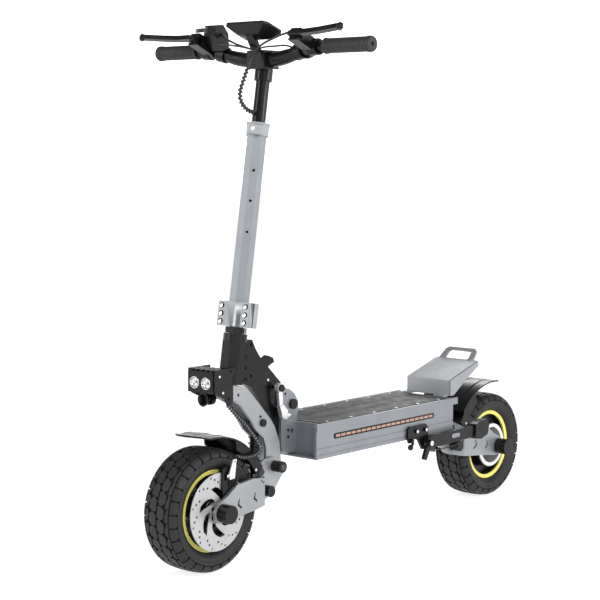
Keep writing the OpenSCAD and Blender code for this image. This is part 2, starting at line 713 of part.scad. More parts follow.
module rear_fender() color("#1c1c1c") {
    c = [-axle_x, axle_z];
    inner = arc(c, 157, rear_fender_end, 38, 10);
    outer = arc(c, 160.5, 38, rear_fender_end, 10);
    difference() {
        union() {
            side_plate(concat(inner, outer), -46, 46);
            both_sides() side_plate(concat([[-404, 187], [-376, 187], [-361, 205]], arc(c, 157, 38, 60, 5),
                [[-430, 235]]), 43, 45.8);
            both_sides() side_plate([[-356, 202], [-374, 185], [-382, 187], [-382, 207], [-368, 210]],
                32.2, 45.8);
        }
        rod(c, tyre_d / 2 + 4, -60, 60);
    }
}

// ---------- cables held at both ends ----------

module stem_loom() color("#101010") cable(loom_route, 5);

module front_brake_cable() color("#101010") cable(front_cable_route, 5.5);

// ---------- node selection ----------

deck_tub();
deck_lid();
deck_mat();
battery_pack();
controller();
side_lights();
fold_bracket();
rear_bracket();
chassis_fasteners();
kick_plate();
tail_light();
kickstand_bracket();
kickstand_leg();
neck();
latch_lever();
fork();
stem_clamp();
stem_tube();
height_collar();
steering_fasteners();
headlight();
headlight_lenses();
horn();
height_tube();
bar_clamp();
handlebar();
grips();
lever_perches();
control_pods();
display();
brake_lever_left();
brake_lever_right();
throttle_trigger();
power_button();
lamp_button();
horn_button();
swing_arm();  // front_swing_arm
front_fender();
caliper(1);  // front_caliper
caliper_arm(1);  // front_caliper_arm
wheel_axle(87);  // front_axle
shock_body();  // front_shock_body
shock_shaft();  // front_shock_shaft
shock_spring();  // front_shock_spring
tyre();  // front_tyre
rim(30);  // front_rim
rotor(1);  // front_rotor
mirror([1, 0, 0]) swing_arm();  // rear_swing_arm
rear_fender();
mirror([1, 0, 0]) caliper(-1);  // rear_caliper
mirror([1, 0, 0]) caliper_arm(-1);  // rear_caliper_arm
mirror([1, 0, 0]) wheel_axle(92);  // rear_axle
mirror([1, 0, 0]) shock_body();  // rear_shock_body
mirror([1, 0, 0]) shock_shaft();  // rear_shock_shaft
mirror([1, 0, 0]) shock_spring();  // rear_shock_spring
mirror([1, 0, 0]) tyre();  // rear_tyre
mirror([1, 0, 0]) rim(52);  // rear_rim
mirror([1, 0, 0]) rotor(-1);  // rear_rotor
stem_loom();
front_brake_cable();
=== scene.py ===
"""Looks of the folding electric kick scooter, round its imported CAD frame. Metres, +X forward, +Z up."""
import json
import math

import bpy
from mathutils import Matrix, Vector


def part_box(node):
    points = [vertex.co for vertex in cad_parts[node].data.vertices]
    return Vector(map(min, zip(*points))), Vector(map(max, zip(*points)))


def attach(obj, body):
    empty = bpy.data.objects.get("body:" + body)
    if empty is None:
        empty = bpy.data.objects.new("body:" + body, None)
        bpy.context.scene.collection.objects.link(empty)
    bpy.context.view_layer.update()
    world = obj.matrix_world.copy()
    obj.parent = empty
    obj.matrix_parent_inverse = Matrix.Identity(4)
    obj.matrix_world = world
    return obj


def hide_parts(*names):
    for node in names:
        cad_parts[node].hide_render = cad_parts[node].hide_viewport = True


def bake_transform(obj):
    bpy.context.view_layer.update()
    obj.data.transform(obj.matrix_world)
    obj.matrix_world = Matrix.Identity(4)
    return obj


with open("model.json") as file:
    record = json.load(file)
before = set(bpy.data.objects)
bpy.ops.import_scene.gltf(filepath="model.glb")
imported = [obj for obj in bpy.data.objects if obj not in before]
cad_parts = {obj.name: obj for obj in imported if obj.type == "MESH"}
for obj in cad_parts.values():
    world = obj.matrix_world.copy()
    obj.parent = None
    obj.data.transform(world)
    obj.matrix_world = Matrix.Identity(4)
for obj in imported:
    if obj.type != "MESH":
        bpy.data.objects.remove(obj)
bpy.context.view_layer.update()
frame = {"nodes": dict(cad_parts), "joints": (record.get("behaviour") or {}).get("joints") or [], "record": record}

MM = 0.001
PIVOT = {j["name"]: Vector(j["pos_m"]) for j in frame["joints"] if j.get("pos_m")}
LEAN = math.radians(9.2)  # the steering axis leans back by this angle
STEER_FOOT = Vector((PIVOT["steer"].x + math.tan(LEAN) * PIVOT["steer"].z, 0, 0))
FRONT, REAR = 1, -1
LEFT, RIGHT = 1, -1


# ---------- materials ----------


def shader(name, color, roughness, metallic=0.0, **sockets):
    """A new node material with its Principled shader's plain values set."""
    mat = bpy.data.materials.new(name)
    mat.use_nodes = True
    bsdf = mat.node_tree.nodes["Principled BSDF"]
    bsdf.inputs["Base Color"].default_value = (*color, 1)
    bsdf.inputs["Roughness"].default_value = roughness
    bsdf.inputs["Metallic"].default_value = metallic
    for socket, value in sockets.items():
        bsdf.inputs[socket.replace("_", " ")].default_value = value
    return mat, bsdf


def noise(mat, scale, detail=4.0, stretch=(1, 1, 1)):
    """Object-space noise, longer along an axis whose stretch is small."""
    nodes, links = mat.node_tree.nodes, mat.node_tree.links
    place = nodes.new("ShaderNodeTexCoord")
    mapping = nodes.new("ShaderNodeMapping")
    mapping.inputs["Scale"].default_value = stretch
    texture = nodes.new("ShaderNodeTexNoise")
    texture.inputs["Scale"].default_value = scale
    texture.inputs["Detail"].default_value = detail
    links.new(place.outputs["Object"], mapping.inputs["Vector"])
    links.new(mapping.outputs["Vector"], texture.inputs["Vector"])
    return texture.outputs["Fac"]


def ramp(mat, source, low, high, start=0.35, end=0.65):
    """Colours from low to high as source goes from start to end."""
    node = mat.node_tree.nodes.new("ShaderNodeValToRGB")
    node.color_ramp.elements[0].position = start
    node.color_ramp.elements[1].position = end
    node.color_ramp.elements[0].color = (*low, 1)
    node.color_ramp.elements[1].color = (*high, 1)
    mat.node_tree.links.new(source, node.inputs["Fac"])
    return node.outputs["Color"]


def spread(mat, source, low, high):
    """A value from low to high as source goes from 0.3 to 0.7."""
    node = mat.node_tree.nodes.new("ShaderNodeMapRange")
    node.inputs["From Min"].default_value = 0.3
    node.inputs["From Max"].default_value = 0.7
    node.inputs["To Min"].default_value = low
    node.inputs["To Max"].default_value = high
    mat.node_tree.links.new(source, node.inputs["Value"])
    return node.outputs["Result"]


def bump(mat, bsdf, source, strength, distance):
    node = mat.node_tree.nodes.new("ShaderNodeBump")
    node.inputs["Strength"].default_value = strength
    node.inputs["Distance"].default_value = distance
    mat.node_tree.links.new(source, node.inputs["Height"])
    mat.node_tree.links.new(node.outputs["Normal"], bsdf.inputs["Normal"])


def finish_of(name, color, roughness, metallic, shade, vary, grain, relief, stretch=(1, 1, 1), **sockets):
    """A finish with blotchy colour (shade), uneven roughness (vary) and fine grain of a size and relief."""
    mat, bsdf = shader(name, color, roughness, metallic, **sockets)
    links = mat.node_tree.links
    dark = [c * (1 - shade) for c in color]
    light = [min(1, c * (1 + shade)) for c in color]
    links.new(ramp(mat, noise(mat, 14, 5, stretch), dark, light), bsdf.inputs["Base Color"])
    links.new(spread(mat, noise(mat, 60, 6, stretch), roughness - vary, roughness + vary),
              bsdf.inputs["Roughness"])
    bump(mat, bsdf, noise(mat, grain, 3, stretch), 0.25, relief)
    return mat


anodised = finish_of("anodised_silver", (0.245, 0.26, 0.28), 0.4, 0.65, 0.05, 0.06, 1400, 0.00012)
pale_plate = finish_of("blasted_plate", (0.31, 0.322, 0.337), 0.42, 0.6, 0.05, 0.07, 1800, 0.00015)
black_coat = finish_of("black_coat", (0.006, 0.006, 0.0065), 0.26, 0.0, 0.12, 0.05, 1500, 0.0001,
                       Specular_IOR_Level=0.25)
black_alloy = finish_of("black_anodised", (0.006, 0.006, 0.0066), 0.22, 0.1, 0.12, 0.05, 1600, 0.00008,
                        Specular_IOR_Level=0.25)
black_plastic = finish_of("moulded_plastic", (0.006, 0.006, 0.0064), 0.28, 0.0, 0.12, 0.05, 900, 0.0002,
                          Specular_IOR_Level=0.25)
tyre_rubber = finish_of("tyre_rubber", (0.017, 0.017, 0.0175), 0.55, 0.0, 0.22, 0.1, 700, 0.0003,
                        Specular_IOR_Level=0.3)
grip_rubber = finish_of("grip_rubber", (0.02, 0.02, 0.021), 0.5, 0.0, 0.15, 0.08, 1300, 0.0002,
                        Specular_IOR_Level=0.35)
mat_rubber = finish_of("mat_rubber", (0.013, 0.013, 0.0135), 0.5, 0.0, 0.25, 0.1, 1000, 0.0003,
                       Specular_IOR_Level=0.3)
yellow_paint = finish_of("yellow_paint", (0.80, 0.72, 0.16), 0.35, 0.0, 0.04, 0.06, 900, 0.00008)
bright_steel = finish_of("bright_steel", (0.78, 0.78, 0.79), 0.3, 0.85, 0.04, 0.07, 2200, 0.0001)
chrome = finish_of("chrome", (0.82, 0.82, 0.83), 0.12, 1.0, 0.02, 0.04, 500, 0.00003)
cable_black = finish_of("cable_black", (0.014, 0.014, 0.014), 0.4, 0.0, 0.2, 0.08, 1200, 0.0001)
battery_wrap = finish_of("battery_wrap", (0.03, 0.1, 0.4), 0.4, 0.0, 0.1, 0.08, 300, 0.0003)
rim_black = finish_of("rim_black", (0.006, 0.006, 0.006), 0.28, 0.0, 0.12, 0.05, 1500, 0.0001,
                      Specular_IOR_Level=0.3)
disc_steel = finish_of("disc_steel", (0.46, 0.465, 0.475), 0.36, 0.6, 0.03, 0.06, 2600, 0.00006)
hub_grain = finish_of("hub_grain", (0.05, 0.05, 0.052), 0.5, 0.3, 0.3, 0.12, 420, 0.0008)
red_plastic = finish_of("red_plastic", (0.35, 0.01, 0.01), 0.25, 0.0, 0.1, 0.05, 900, 0.0001)
green_plastic = finish_of("green_plastic", (0.02, 0.22, 0.06), 0.4, 0.0, 0.1, 0.05, 900, 0.0001)
yellow_plastic = finish_of("yellow_plastic", (0.5, 0.32, 0.02), 0.4, 0.0, 0.1, 0.05, 900, 0.0001)
amber_lens = finish_of("amber_lens", (0.42, 0.235, 0.18), 0.2, 0.0, 0.12, 0.05, 700, 0.0002)
lens_glass, lens_bsdf = shader("lens_glass", (0.95, 0.96, 0.97), 0.06, 0.0, Transmission_Weight=0.9, IOR=1.45)
bump(lens_glass, lens_bsdf, noise(lens_glass, 120, 2), 0.05, 0.00005)

CAD_FINISH = {
    anodised: ["deck_tub", "stem_tube", "fold_bracket", "rear_bracket"],
    pale_plate: ["fork", "stem_clamp", "height_collar", "kick_plate", "front_swing_arm", "rear_swing_arm"],
    black_coat: ["chassis_fasteners", "kickstand_bracket", "kickstand_leg", "steering_fasteners",
                 "front_axle", "rear_axle", "front_shock_body", "rear_shock_body", "front_shock_spring",
                 "rear_shock_spring"],
    black_alloy: ["neck", "height_tube", "bar_clamp", "handlebar", "lever_perches", "brake_lever_left",
                  "brake_lever_right", "front_caliper", "rear_caliper", "deck_lid", "controller"],
    black_plastic: ["headlight", "horn", "control_pods", "display", "throttle_trigger", "front_fender",
                    "rear_fender", "front_rim", "rear_rim"],
    tyre_rubber: ["front_tyre", "rear_tyre"],
    grip_rubber: ["grips"],
    mat_rubber: ["deck_mat"],
    bright_steel: ["front_rotor", "rear_rotor", "latch_lever", "front_caliper_arm", "rear_caliper_arm"],
    chrome: ["front_shock_shaft", "rear_shock_shaft"],
    cable_black: ["stem_loom", "front_brake_cable"],
    battery_wrap: ["battery_pack"],
    red_plastic: ["tail_light", "power_button"],
    green_plastic: ["lamp_button"],
    yellow_plastic: ["horn_button"],
    amber_lens: ["side_lights"],
    lens_glass: ["headlight_lenses"],
}
for finish, names in CAD_FINISH.items():
    for node_name in names:
        mesh = frame["nodes"][node_name].data
        mesh.materials.clear()
        mesh.materials.append(finish)


# ---------- camera, floor and light ----------


def make_camera():
    azimuth, elevation, roll = math.radians(40.64), math.radians(5.44), math.radians(0.15)
    back = Vector((math.cos(azimuth) * math.cos(elevation), math.sin(azimuth) * math.cos(elevation),
                   math.sin(elevation)))
    data = bpy.data.cameras.new("camera")
    data.sensor_width = 36
    data.lens = 98.03
    data.clip_end = 100
    cam = bpy.data.objects.new("camera", data)
    bpy.context.scene.collection.objects.link(cam)
    turn = (-back).to_track_quat("-Z", "Y").to_matrix().to_4x4()
    cam.matrix_world = Matrix.Translation((2.8484, 2.2852, 0.8670)) @ turn @ Matrix.Rotation(roll, 4, "Z")
    bpy.context.scene.camera = cam


def make_light(name, place, target, size, power):
    data = bpy.data.lights.new(name, "AREA")
    data.shape = "RECTANGLE"
    data.size, data.size_y = size
    data.energy = power
    lamp = bpy.data.objects.new(name, data)
    bpy.context.scene.collection.objects.link(lamp)
    lamp.location = place
    lamp.rotation_euler = (Vector(target) - Vector(place)).to_track_quat("-Z", "Y").to_euler()


def make_stage():
    bpy.ops.mesh.primitive_plane_add(size=60, location=(0, 0, 0))
    floor = bpy.context.object
    floor.name = "floor"
    mat, bsdf = shader("studio_floor", (0.42, 0.42, 0.42), 0.85)
    bsdf.inputs["Emission Color"].default_value = (1, 1, 1, 1)
    bsdf.inputs["Emission Strength"].default_value = 0.80
    floor.data.materials.append(mat)
    bpy.ops.mesh.primitive_cylinder_add(vertices=96, radius=29, depth=12, end_fill_type="NOTHING",
                                        location=(0, 0, 0))
    wall = bpy.context.object
    wall.name = "backdrop"
    mat, bsdf = shader("studio_backdrop", (0.9, 0.9, 0.9), 1.0)
    bsdf.inputs["Emission Color"].default_value = (1, 1, 1, 1)
    bsdf.inputs["Emission Strength"].default_value = 1.0
    wall.data.materials.append(mat)
    world = bpy.data.worlds.new("studio")
    world.use_nodes = True
    world.node_tree.nodes["Background"].inputs["Color"].default_value = (1, 1, 1, 1)
    world.node_tree.nodes["Background"].inputs["Strength"].default_value = 0.3
    bpy.context.scene.world = world
    bpy.context.scene.view_settings.view_transform = "Standard"
    make_light("key", (1.6, 3.2, 3.0), (0, 0, 0.5), (1.6, 1.6), 95)
    make_light("front_fill", (3.6, -1.6, 2.2), (0.2, 0, 0.5), (1.4, 2.4), 60)
    make_light("side", (-1.4, 4.2, 1.3), (-0.1, 0, 0.35), (2.4, 1.2), 55)
    make_light("rim", (-3.0, -1.5, 2.5), (0, 0, 0.6), (1.4, 2.4), 50)


bpy.ops.object.select_all(action="DESELECT")
make_camera()
make_stage()


# ---------- modelling helpers ----------

BODY_OF = {n: body for body, members in frame["record"]["behaviour"]["bodies"].items() for n in members}


def fresh():
    """Leave edit mode with nothing selected, as before any new primitive."""
    if bpy.context.mode != "OBJECT":
        bpy.ops.object.mode_set(mode="OBJECT")
    bpy.ops.object.select_all(action="DESELECT")


def pick(piece):
    fresh()
    piece.select_set(True)
    bpy.context.view_layer.objects.active = piece


def edit(piece, kind="VERT"):
    """Edit mode on one piece with everything selected."""
    pick(piece)
    bpy.ops.object.mode_set(mode="EDIT")
    bpy.ops.mesh.select_mode(type=kind)
    bpy.ops.mesh.select_all(action="SELECT")


def modify(piece, kind, **settings):
    """Add a modifier, set it and apply it."""
    modifier = piece.modifiers.new(kind.title(), kind)
    for name, value in settings.items():
        setattr(modifier, name, value)
    pick(piece)
    bpy.ops.object.modifier_apply(modifier=modifier.name)


def round_edges(piece, width, segments=2, angle=30):
    modify(piece, "BEVEL", width=width, segments=segments, limit_method="ANGLE",
           angle_limit=math.radians(angle))


def shape(piece, points, matrix=None):
    """Move every vertex to its new point, then place the piece."""
    for vertex, point in zip(piece.data.vertices, points):
        vertex.co = point
    if matrix:
        piece.data.transform(matrix)


def done(piece, name, body, finish, smooth=35):
    """Apply the place, then set name, finish and body. With no body, the piece is left unattached."""
    pick(piece)
    bpy.ops.object.transform_apply(location=True, rotation=True, scale=True)
    if smooth:
        bpy.ops.object.shade_smooth_by_angle(angle=math.radians(smooth))
    piece.name = name
    piece.data.name = name
    if finish:
        piece.data.materials.clear()
        piece.data.materials.append(finish)
    if body:
        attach(piece, body)
    return piece


def join(pieces):
    """Join pieces into the first one."""
    fresh()
    for piece in pieces:
        piece.select_set(True)
    bpy.context.view_layer.objects.active = pieces[0]
    if len(pieces) > 1:
        bpy.ops.object.join()
    return pieces[0]


def copy_of(piece, matrix):
    """A second piece with its own mesh, moved by a matrix."""
    twin = piece.copy()
    twin.data = piece.data.copy()
    twin.data.transform(matrix)
    bpy.context.scene.collection.objects.link(twin)
    if matrix.determinant() < 0:
        twin.data.flip_normals()
    return twin


def drum(radius, depth, sides, place=(0, 0, 0), turn=(0, 0, 0)):
    """A cylinder round its place, in metres, with its axis along Z before the turn."""
    fresh()
    bpy.ops.mesh.primitive_cylinder_add(vertices=sides, radius=radius, depth=depth, location=place,
                                        rotation=turn)
    piece = bpy.context.object
    pick(piece)
    bpy.ops.object.transform_apply(location=True, rotation=True, scale=True)
    return piece


def box(place, size):
    """A box round its place, in metres."""
    fresh()
    bpy.ops.mesh.primitive_cube_add(size=1)
    piece = bpy.context.object
    piece.data.transform(Matrix.Translation(place) @ Matrix.Diagonal((*size, 1)))
    return piece


def spun(profile, steps=64):
    """A closed shape turned round Z from a loop of (radius, height) points in mm."""
    fresh()
    bpy.ops.mesh.primitive_circle_add(vertices=len(profile), radius=1)
    piece = bpy.context.object
    shape(piece, [(r * MM, 0, z * MM) for r, z in profile])
    edit(piece)
    bpy.ops.mesh.spin(steps=steps, angle=2 * math.pi, center=(0, 0, 0), axis=(0, 0, 1))
    bpy.ops.mesh.select_all(action="SELECT")
    bpy.ops.mesh.remove_doubles(threshold=0.000002)
    bpy.ops.mesh.delete_loose()
    bpy.ops.mesh.select_all(action="SELECT")
    bpy.ops.mesh.normals_make_consistent(inside=False)
    fresh()
    return piece


def across(x, y, z, side=LEFT):
    """Turns a piece made round Z so that its Z points out to one side, at a place in mm."""
    turn = Matrix.Rotation(math.radians(-90 * side), 4, "X")
    return Matrix.Translation(Vector((x, y, z)) * MM) @ turn


def facing(place, direction):
    """Stands a piece made round Z at a place, with its Z along a direction."""
    turn = Vector(direction).to_track_quat("Z", "Y").to_matrix().to_4x4()
    return Matrix.Translation(Vector(place)) @ turn


STEM = Matrix.Translation(STEER_FOOT) @ Matrix.Rotation(-LEAN, 4, "Y")


def on_stem(x, y, s):
    """The world place of a point in mm of the steering frame, whose Z runs up the axis from the floor."""
    return STEM @ (Vector((x, y, s)) * MM)


def thicken(piece, height):
    """Extrude a flat sheet along Z into a closed piece."""
    edit(piece, "FACE")
    bpy.ops.mesh.extrude_region_move(TRANSFORM_OT_translate={"value": (0, 0, height)})
    bpy.ops.mesh.select_all(action="SELECT")
    bpy.ops.mesh.normals_make_consistent(inside=False)
    fresh()


def slab(points, thickness):
    """A flat plate from its outline in XY, extruded up Z. Points and thickness are in mm."""
    fresh()
    bpy.ops.mesh.primitive_circle_add(vertices=len(points), radius=1, fill_type="NGON")
    piece = bpy.context.object
    shape(piece, [(x * MM, y * MM, 0) for x, y in points])
    thicken(piece, thickness * MM)
    return piece


def upright(y):
    """Stands a slab up in the side view: its outline's Y becomes the world's Z, at a distance y in mm."""
    return Matrix.Translation((0, y * MM, 0)) @ Matrix.Rotation(math.radians(90), 4, "X")


def tube(name, path, radius, sides=10, smooth_path=True, radii=None):
    """A round tube along points in metres, made as a bevelled curve and turned into a mesh."""
    data = bpy.data.curves.new(name, "CURVE")
    data.dimensions = "3D"
    data.bevel_depth = radius
    data.bevel_resolution = max(1, sides // 4 - 1)
    data.use_fill_caps = True
    data.twist_smooth = 8
    spline = data.splines.new("BEZIER" if smooth_path else "POLY")
    knots = spline.bezier_points if smooth_path else spline.points
    knots.add(len(path) - 1)
    for index, (knot, place) in enumerate(zip(knots, path)):
        knot.co = place if smooth_path else (*place, 1)
        knot.radius = radii[index] if radii else 1
        if smooth_path:
            knot.handle_left_type = knot.handle_right_type = "AUTO"
    spline.resolution_u = 8
    piece = bpy.data.objects.new(name, data)
    bpy.context.scene.collection.objects.link(piece)
    pick(piece)
    bpy.ops.object.convert(target="MESH")
    piece = bpy.context.object
    edit(piece)
    bpy.ops.mesh.remove_doubles(threshold=0.000002)
    bpy.ops.mesh.normals_make_consistent(inside=False)
    fresh()
    return piece


def smooth_points(points, steps):
    """Points on the smooth curve through the given points, with a number of steps between neighbours."""
    last = len(points) - 1
    path = []
    for i in range(last):
        a, b = points[max(i - 1, 0)], points[i]
        c, d = points[i + 1], points[min(i + 2, last)]
        for s in range(steps):
            f = s / steps
            path.append(0.5 * (2 * b + (c - a) * f + (2 * a - 5 * b + 4 * c - d) * f ** 2
                               + (3 * b - a - 3 * c + d) * f ** 3))
    path.append(points[last])
    return path


def refined(node_name, width, finish, segments=2, angle=30):
    """A bevelled copy of a CAD node's solid, which stands for the node. Width is in mm."""
    piece = bpy.data.objects.new(node_name + "_body", frame["nodes"][node_name].data.copy())
    bpy.context.scene.collection.objects.link(piece)
    edit(piece)
    bpy.ops.mesh.remove_doubles(threshold=0.00001)
    bpy.ops.mesh.dissolve_limited(angle_limit=math.radians(0.6))
    fresh()
    round_edges(piece, width * MM, segments, angle)
    done(piece, node_name + "_body", BODY_OF[node_name], finish, 40)
    modify(piece, "WEIGHTED_NORMAL", keep_sharp=True)
    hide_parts(node_name)
    return piece


# ---------- fasteners ----------


def cut_out(piece, tool):
    """Take a tool's shape away from a piece, and remove the tool."""
    modify(piece, "BOOLEAN", object=tool, operation="DIFFERENCE", solver="EXACT")
    bpy.data.objects.remove(tool)


def socket_bolt(radius, height):
    """A cap bolt's head standing on the floor plane at the origin, with its hex socket. In mm."""
    head = drum(radius * MM, height * MM, 24, (0, 0, height * MM / 2))
    round_edges(head, radius * 0.14 * MM, 2, 50)
    cut_out(head, drum(radius * 0.52 * MM, height * MM, 6, (0, 0, height * 0.98 * MM)))
    return head


def bolts(name, body, finish, seats, radius, height):
    """Copies of one bolt head at seats, which are (place in m, direction) pairs."""
    first = socket_bolt(radius, height)
    copies = [copy_of(first, facing(place, direction)) for place, direction in seats]
    bpy.data.objects.remove(first)
    return done(join(copies), name, body, finish, 40)


def at(x, y, z):
    """A place in the world from mm."""
    return Vector((x, y, z)) * MM


# ---------- CAD shapes that keep their form, with rounded edges ----------

for node_name, width in {"deck_tub": 0.8, "fold_bracket": 0.9, "rear_bracket": 0.8, "stem_tube": 1.2}.items():
    refined(node_name, width, anodised)
for node_name, width in {"fork": 0.9, "stem_clamp": 0.8, "height_collar": 0.8, "kick_plate": 0.9,
                         "front_swing_arm": 0.9, "rear_swing_arm": 0.9}.items():
    refined(node_name, width, pale_plate)
for node_name, width in {"neck": 1.0, "bar_clamp": 1.5, "lever_perches": 1.6, "front_caliper": 0.8,
                         "rear_caliper": 0.8, "kickstand_bracket": 0.8}.items():
    refined(node_name, width, black_alloy)
for node_name, width in {"headlight": 1.2, "control_pods": 1.6, "display": 2.2, "front_fender": 1.0,
                         "rear_fender": 1.0, "horn": 0.8}.items():
    refined(node_name, width, black_plastic)
for node_name in ("brake_lever_left", "brake_lever_right"):
    refined(node_name, 2.6, black_alloy, 3)
refined("throttle_trigger", 2.0, black_plastic, 3)
refined("latch_lever", 1.8, bright_steel, 3)
refined("kickstand_leg", 1.6, black_coat, 3)
for node_name in ("front_caliper_arm", "rear_caliper_arm"):
    refined(node_name, 0.5, bright_steel)
for node_name in ("front_axle", "rear_axle", "chassis_fasteners", "steering_fasteners"):
    refined(node_name, 0.9, black_coat, 3)
for node_name in ("front_shock_body", "rear_shock_body"):
    refined(node_name, 0.8, black_alloy)
for node_name in ("front_shock_shaft", "rear_shock_shaft"):
    refined(node_name, 0.5, chrome)
refined("tail_light", 1.0, red_plastic)
refined("power_button", 0.8, red_plastic)
refined("lamp_button", 0.8, green_plastic)
refined("horn_button", 0.8, yellow_plastic)
refined("deck_lid", 0.5, black_alloy)


# ---------- wheels ----------

AXLE_Z = PIVOT["front_spin"].z
WHEEL_X = {"front": PIVOT["front_spin"].x, "rear": PIVOT["rear_spin"].x}
TYRE_R = (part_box("front_tyre")[1].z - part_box("front_tyre")[0].z) / 2 / MM
LUGS = 28  # tread blocks round the tyre in each row
LUG_DEPTH = 7.0  # from a block's face to its foot, which is sunk in the carcass
GROOVE_DEPTH = 5.2

# Tyre's outer skin from the crown to the bead, as (half width, radius) in mm
SKIN = [(0, TYRE_R), (14, TYRE_R - 0.1), (25, TYRE_R - 1.0), (34, TYRE_R - 2.3), (39.5, TYRE_R - 5),
        (43.2, TYRE_R - 10), (43.9, TYRE_R - 17), (43.6, TYRE_R - 25), (41.6, TYRE_R - 32),
        (37, TYRE_R - 38), (31, TYRE_R - 42)]


def skin_point(distance, depth):
    """Point of the tyre's section at a distance from the crown along the skin, sunk by a depth. In mm."""
    side = -1 if distance < 0 else 1
    left = abs(distance)
    for (y0, r0), (y1, r1) in zip(SKIN, SKIN[1:]):
        length = math.hypot(y1 - y0, r1 - r0)
        if left <= length:
            break
        left -= length
    along = ((y1 - y0) / length, (r1 - r0) / length)
    y = y0 + along[0] * left + along[1] * depth
    r = r0 + along[1] * left - along[0] * depth
    return side * y, r


def lug(rows):
    """One tread block. Rows are (distance across from the crown, start and end along the tread) in mm."""
    fresh()
    bpy.ops.mesh.primitive_grid_add(x_subdivisions=2, y_subdivisions=len(rows) - 1, size=1)
    block = bpy.context.object
    flat = [(start + (end - start) * i / 2, across_, 0) for across_, start, end in rows for i in range(3)]
    shape(block, flat)
    thicken(block, 1)
    round_edges(block, 0.12, 1, 60)
    middle = sum(row[1] + row[2] for row in rows) / 2 / len(rows)
    placed = []
    for vertex in block.data.vertices:
        along, across_, lift = vertex.co
        taper = 1 + 0.07 * (1 - lift)
        y, r = skin_point(across_, LUG_DEPTH * (1 - lift))
        angle = (middle + (along - middle) * taper) / TYRE_R
        placed.append((r * math.cos(angle) * MM, r * math.sin(angle) * MM, y * MM))
    shape(block, placed)
    return block


CENTRE_LUG = [(1.6, -12.2, 8.6), (6, -14.2, 12.0), (11, -12.5, 15.2), (16, -9.5, 13.0), (20.5, -6.0, 8.5)]
MIDDLE_LUG = [(22.6, 2.0, 12.4), (26, -8.0, 16.0), (31, -11.6, 14.6)]
SHOULDER_LUG = [(33.6, -12.4, 12.4), (38, -12.6, 12.6), (43, -12.6, 12.6), (49, -12.0, 12.0),
                (53, -10.5, 10.5)]


def make_tyre(end):
    wheel = Matrix.Translation((WHEEL_X[end], 0, AXLE_Z)) @ Matrix.Rotation(math.radians(90), 4, "X")
    groove = [skin_point(d, GROOVE_DEPTH) for d in (0, 14, 26, 35, 41, 47, 53)]
    wall_side = [(43.6, TYRE_R - 18), (43.4, TYRE_R - 24), (42.6, TYRE_R - 25), (42.4, TYRE_R - 29),
                 (40.4, TYRE_R - 33.5), (36.5, TYRE_R - 38.5), (34, TYRE_R - 41.5), (30.2, TYRE_R - 43.1),
                 (24, TYRE_R - 43.1)]
    half = groove + wall_side + [(20, TYRE_R - 35.6)]
    loop = [(r, y) for y, r in half] + [(r, -y) for y, r in reversed(half[1:])]
    pieces = [spun(loop, 112)]
    pitch = 2 * math.pi / LUGS
    for rows, shift in ((CENTRE_LUG, 0), (MIDDLE_LUG, 0.1), (SHOULDER_LUG, 0.55)):
        for side in (LEFT, RIGHT):
            block = lug([(side * a, side * s, side * e) for a, s, e in rows])
            for i in range(LUGS):
                turn = (i + (shift if side == LEFT else 0.5 - shift)) * pitch
                pieces.append(copy_of(block, Matrix.Rotation(turn, 4, "Z")))
            bpy.data.objects.remove(block)
    tyre = join(pieces)
    tyre.data.transform(wheel)
    done(tyre, end + "_tyre_tread", end + "_wheel", tyre_rubber, 32)
    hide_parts(end + "_tyre")


RIM_R = (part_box("front_rim")[1].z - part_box("front_rim")[0].z) / 2 / MM


def ring_profile(inner, outer, low, high, round_by):
    """Box section between two radii and two heights, with its corners cut off. In mm, for spun()."""
    c = round_by
    return [(inner, low + c), (inner + c, low), (outer - c, low), (outer, low + c), (outer, high - c),
            (outer - c, high), (inner + c, high), (inner, high - c)]


def make_rim(end):
    wheel = Matrix.Translation((WHEEL_X[end], 0, AXLE_Z))
    refined(end + "_rim", 1.0, rim_black, 2)
    for side, word in ((LEFT, "left"), (RIGHT, "right")):
        band = spun([
            (RIM_R - 6.2, 25.0), (RIM_R - 0.2, 29.0), (RIM_R + 0.6, 30.6), (RIM_R + 0.3, 31.6),
            (RIM_R - 1.6, 31.8), (RIM_R - 3.2, 30.6), (RIM_R - 7.6, 30.8), (RIM_R - 8.4, 30.0),
            (RIM_R - 8.2, 26.0)], 96)
        band.data.transform(wheel @ across(0, 0, 0, side))
        done(band, f"{end}_rim_band_{word}", end + "_wheel", yellow_paint, 40)


DISC_BOLTS = 6
DISC_BOLT_R = 18.5  # radius of the circle that a disc's bolts stand on, in mm


def rotor_cutters():
    """Curved slots, vent holes and bolt holes that are cut out of a rotor lying on the floor plane."""
    cutters = []
    for k in range(6):
        outline = []
        for i in range(9):
            f = i / 8
            radius, half_width = 24 + 30 * f, 2.6 + 8.4 * math.sin(math.pi * (0.06 + 0.78 * f))
            angle = math.radians(60 * k + 46 * f)
            outline.append((radius, half_width, angle))
        left = [(r * math.cos(a - w / r), r * math.sin(a - w / r)) for r, w, a in outline]
        right = [(r * math.cos(a + w / r), r * math.sin(a + w / r)) for r, w, a in reversed(outline)]
        slot = slab(left + right, 8)
        slot.data.transform(Matrix.Translation((0, 0, -4 * MM)))
        cutters.append(slot)
    # rings of holes: radius of the ring, radius of a hole, how many, and first angle
    holes = [(61.5, 2.5, 12, 0), (68, 2.5, 12, 8), (74.5, 2.3, 12, 16), (DISC_BOLT_R, 2.4, DISC_BOLTS, 30)]
    for radius, size, count, shift in holes:
        for k in range(count):
            angle = math.radians(360 * k / count + shift)
            place = (radius * MM * math.cos(angle), radius * MM * math.sin(angle), 0)
            cutters.append(drum(size * MM, 8 * MM, 14, place))
    return join(cutters)


